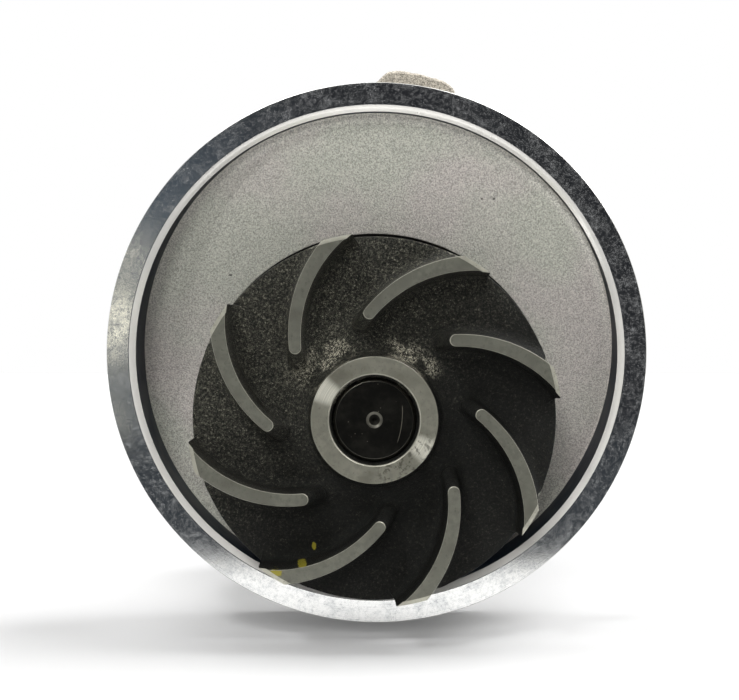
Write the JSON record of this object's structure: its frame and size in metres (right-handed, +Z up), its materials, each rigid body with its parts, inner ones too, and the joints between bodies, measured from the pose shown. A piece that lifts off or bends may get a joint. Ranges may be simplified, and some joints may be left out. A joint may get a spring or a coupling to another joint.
{
  "type": "engine water pump",
  "caption": "Engine water pump with a round eccentric collar, an open curved-vane impeller, a face seal, a sealed shaft bearing and a drive hub.",
  "frame": {"origin": "centre of the collar's front face, on the collar's axis", "axes": "+Y along the collar's axis from the impeller side to the drive hub, +Z up towards the adjusting lug, +X to the right seen from the impeller side"},
  "size_m": [0.1164, 0.1185, 0.1213],
  "materials": {
    "housing": "sand-cast body with a turned collar face",
    "body_o_ring": "smooth moulded",
    "bearing_sleeve": "ground bearing steel",
    "shaft": "ground steel, darkened front end",
    "ball_row": "polished bearing steel",
    "ball_cage": "moulded nylon",
    "roller_row": "polished bearing steel",
    "roller_cage": "moulded nylon",
    "front_bearing_seal": "moulded",
    "rear_bearing_seal": "moulded",
    "flinger": "moulded",
    "seal_cup": "drawn sheet",
    "seal_bellows": "moulded",
    "seal_spring": "spring wire",
    "spring_retainer": "stamped stainless sheet",
    "carbon_ring": "lapped carbon graphite",
    "seat_ring": "lapped ceramic",
    "seat_grommet": "moulded",
    "impeller": "sand-cast, vane tops and hub faced by turning",
    "drive_hub": "turned steel"
  },
  "bodies": {
    "housing": {"housing": "housing", "body_o_ring": "body_o_ring", "bearing_sleeve": "bearing_sleeve", "front_bearing_seal": "front_bearing_seal", "rear_bearing_seal": "rear_bearing_seal", "seal_cup": "seal_cup", "seal_bellows": "seal_bellows", "seal_spring": "seal_spring", "spring_retainer": "spring_retainer", "carbon_ring": "carbon_ring"},
    "rotor": {"shaft": "shaft", "impeller": "impeller", "drive_hub": "drive_hub", "flinger": "flinger", "seat_ring": "seat_ring", "seat_grommet": "seat_grommet"},
    "ball_train": {"ball_row": "ball_row", "ball_cage": "ball_cage"},
    "roller_train": {"roller_row": "roller_row", "roller_cage": "roller_cage"}
  },
  "joints": [
    {"name": "shaft_spin", "type": "hinge", "parent": "housing", "child": "rotor", "pos_m": [-0.0005, 0, -0.013], "axis": [0, 1, 0], "continuous": true},
    {"name": "ball_orbit", "type": "hinge", "parent": "housing", "child": "ball_train", "pos_m": [-0.0005, 0, -0.013], "axis": [0, 1, 0], "continuous": true},
    {"name": "roller_orbit", "type": "hinge", "parent": "housing", "child": "roller_train", "pos_m": [-0.0005, 0, -0.013], "axis": [0, 1, 0], "continuous": true}
  ],
  "couplings": [
    {"joint": "ball_orbit", "follows": "shaft_spin", "ratio": 0.3673},
    {"joint": "roller_orbit", "follows": "shaft_spin", "ratio": 0.3854}
  ]
}
